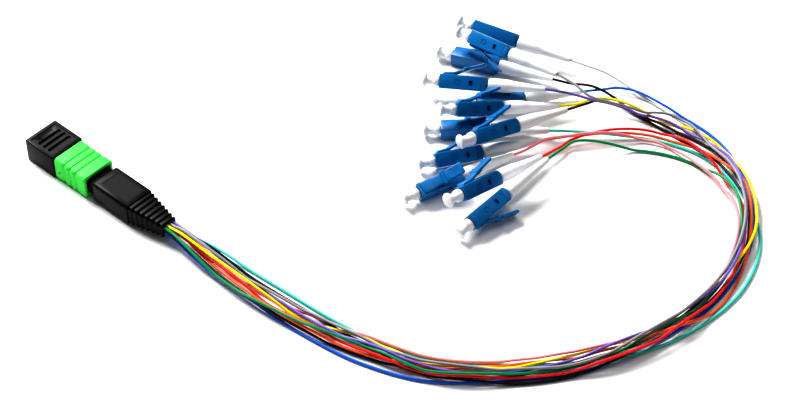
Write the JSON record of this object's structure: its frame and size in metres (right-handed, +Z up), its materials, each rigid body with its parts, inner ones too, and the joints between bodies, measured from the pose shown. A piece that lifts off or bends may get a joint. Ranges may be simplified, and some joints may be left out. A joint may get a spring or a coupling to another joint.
{
  "type": "fibre breakout cable",
  "caption": "Ribbon-fibre plug with a green sleeve and ribbed boot, fanned out into thin coloured fibres that bend round to a loose heap of small blue plugs.",
  "frame": {"origin": "centre of the ribbon plug's underside, on the surface that the cable lies on", "axes": "+X along the ribbon plug from its dust cap to its boot, +Z up, +Y to the side that the fibres bend towards"},
  "size_m": [0.2102, 0.1583, 0.0167],
  "materials": {
    "black_plastic": "satin black moulding",
    "green_plastic": "bright green moulding, semi-gloss",
    "ferrule": "dark grey ferrule, fine ground",
    "black_rubber": "soft black boot, satin",
    "blue_plastic": "blue moulding, semi-gloss",
    "white_rubber": "milky white soft moulding",
    "fibre_01_blue": "smooth coloured fibre buffer",
    "fibre_02_orange": "smooth coloured fibre buffer",
    "fibre_03_green": "smooth coloured fibre buffer",
    "fibre_04_brown": "smooth coloured fibre buffer",
    "fibre_05_slate": "smooth coloured fibre buffer",
    "fibre_06_white": "smooth coloured fibre buffer",
    "fibre_07_red": "smooth coloured fibre buffer",
    "fibre_08_black": "smooth coloured fibre buffer",
    "fibre_09_yellow": "smooth coloured fibre buffer",
    "fibre_10_violet": "smooth coloured fibre buffer",
    "fibre_11_rose": "smooth coloured fibre buffer",
    "fibre_12_aqua": "smooth coloured fibre buffer"
  },
  "bodies": {
    "cable": {"ribbon_plug_body": "black_plastic", "ribbon_ferrule": "ferrule", "ribbed_boot": "black_rubber", "fibre_01_blue": "fibre_01_blue", "plug_body_01_blue": "blue_plastic", "plug_boot_01_blue": "white_rubber", "fibre_02_orange": "fibre_02_orange", "plug_body_02_orange": "blue_plastic", "plug_boot_02_orange": "white_rubber", "fibre_03_green": "fibre_03_green", "plug_body_03_green": "blue_plastic", "plug_boot_03_green": "white_rubber", "fibre_04_brown": "fibre_04_brown", "plug_body_04_brown": "blue_plastic", "plug_boot_04_brown": "white_rubber", "fibre_05_slate": "fibre_05_slate", "plug_body_05_slate": "blue_plastic", "plug_boot_05_slate": "white_rubber", "fibre_06_white": "fibre_06_white", "plug_body_06_white": "blue_plastic", "plug_boot_06_white": "white_rubber", "fibre_07_red": "fibre_07_red", "plug_body_07_red": "blue_plastic", "plug_boot_07_red": "white_rubber", "fibre_08_black": "fibre_08_black", "plug_body_08_black": "blue_plastic", "plug_boot_08_black": "white_rubber", "fibre_09_yellow": "fibre_09_yellow", "plug_body_09_yellow": "blue_plastic", "plug_boot_09_yellow": "white_rubber", "fibre_10_violet": "fibre_10_violet", "plug_body_10_violet": "blue_plastic", "plug_boot_10_violet": "white_rubber", "fibre_11_rose": "fibre_11_rose", "plug_body_11_rose": "blue_plastic", "plug_boot_11_rose": "white_rubber", "fibre_12_aqua": "fibre_12_aqua", "plug_body_12_aqua": "blue_plastic", "plug_boot_12_aqua": "white_rubber"},
    "coupling_sleeve": {"coupling_sleeve": "green_plastic"},
    "ribbon_cap": {"ribbon_plug_cap": "black_plastic"},
    "cap_01_blue": {"plug_cap_01_blue": "white_rubber"},
    "cap_02_orange": {"plug_cap_02_orange": "white_rubber"},
    "cap_03_green": {"plug_cap_03_green": "white_rubber"},
    "cap_04_brown": {"plug_cap_04_brown": "white_rubber"},
    "cap_05_slate": {"plug_cap_05_slate": "white_rubber"},
    "cap_06_white": {"plug_cap_06_white": "white_rubber"},
    "cap_07_red": {"plug_cap_07_red": "white_rubber"},
    "cap_08_black": {"plug_cap_08_black": "white_rubber"},
    "cap_09_yellow": {"plug_cap_09_yellow": "white_rubber"},
    "cap_10_violet": {"plug_cap_10_violet": "white_rubber"},
    "cap_11_rose": {"plug_cap_11_rose": "white_rubber"},
    "cap_12_aqua": {"plug_cap_12_aqua": "white_rubber"}
  },
  "joints": [
    {"name": "sleeve_pull_back", "type": "slide", "parent": "cable", "child": "coupling_sleeve", "axis": [1, 0, 0], "range_m": [0, 0.002], "stiffness_N_per_m": 1500},
    {"name": "ribbon_cap_off", "type": "slide", "parent": "cable", "child": "ribbon_cap", "axis": [-1, 0, 0], "range_m": [0, 0.012]},
    {"name": "cap_01_blue_off", "type": "slide", "parent": "cable", "child": "cap_01_blue", "axis": [-0.6157, -0.788, 0], "range_m": [0, 0.0055]},
    {"name": "cap_02_orange_off", "type": "slide", "parent": "cable", "child": "cap_02_orange", "axis": [-0.5388, -0.8425, 0], "range_m": [0, 0.0055]},
    {"name": "cap_03_green_off", "type": "slide", "parent": "cable", "child": "cap_03_green", "axis": [-0.0589, -0.9916, -0.1149], "range_m": [0, 0.0055]},
    {"name": "cap_04_brown_off", "type": "slide", "parent": "cable", "child": "cap_04_brown", "axis": [-0.3189, -0.942, 0.1045], "range_m": [0, 0.0055]},
    {"name": "cap_05_slate_off", "type": "slide", "parent": "cable", "child": "cap_05_slate", "axis": [-0.9952, -0.0487, -0.0854], "range_m": [0, 0.0055]},
    {"name": "cap_06_white_off", "type": "slide", "parent": "cable", "child": "cap_06_white", "axis": [-0.9446, -0.3179, 0.0819], "range_m": [0, 0.0055]},
    {"name": "cap_07_red_off", "type": "slide", "parent": "cable", "child": "cap_07_red", "axis": [-0.1273, -0.98, 0.153], "range_m": [0, 0.0055]},
    {"name": "cap_08_black_off", "type": "slide", "parent": "cable", "child": "cap_08_black", "axis": [-0.9272, -0.3746, 0], "range_m": [0, 0.0055]},
    {"name": "cap_09_yellow_off", "type": "slide", "parent": "cable", "child": "cap_09_yellow", "axis": [-0.5615, -0.8109, 0.165], "range_m": [0, 0.0055]},
    {"name": "cap_10_violet_off", "type": "slide", "parent": "cable", "child": "cap_10_violet", "axis": [-0.8609, -0.503, -0.0767], "range_m": [0, 0.0055]},
    {"name": "cap_11_rose_off", "type": "slide", "parent": "cable", "child": "cap_11_rose", "axis": [-0.3156, -0.9489, 0], "range_m": [0, 0.0055]},
    {"name": "cap_12_aqua_off", "type": "slide", "parent": "cable", "child": "cap_12_aqua", "axis": [-0.749, -0.6626, 0], "range_m": [0, 0.0055]}
  ]
}
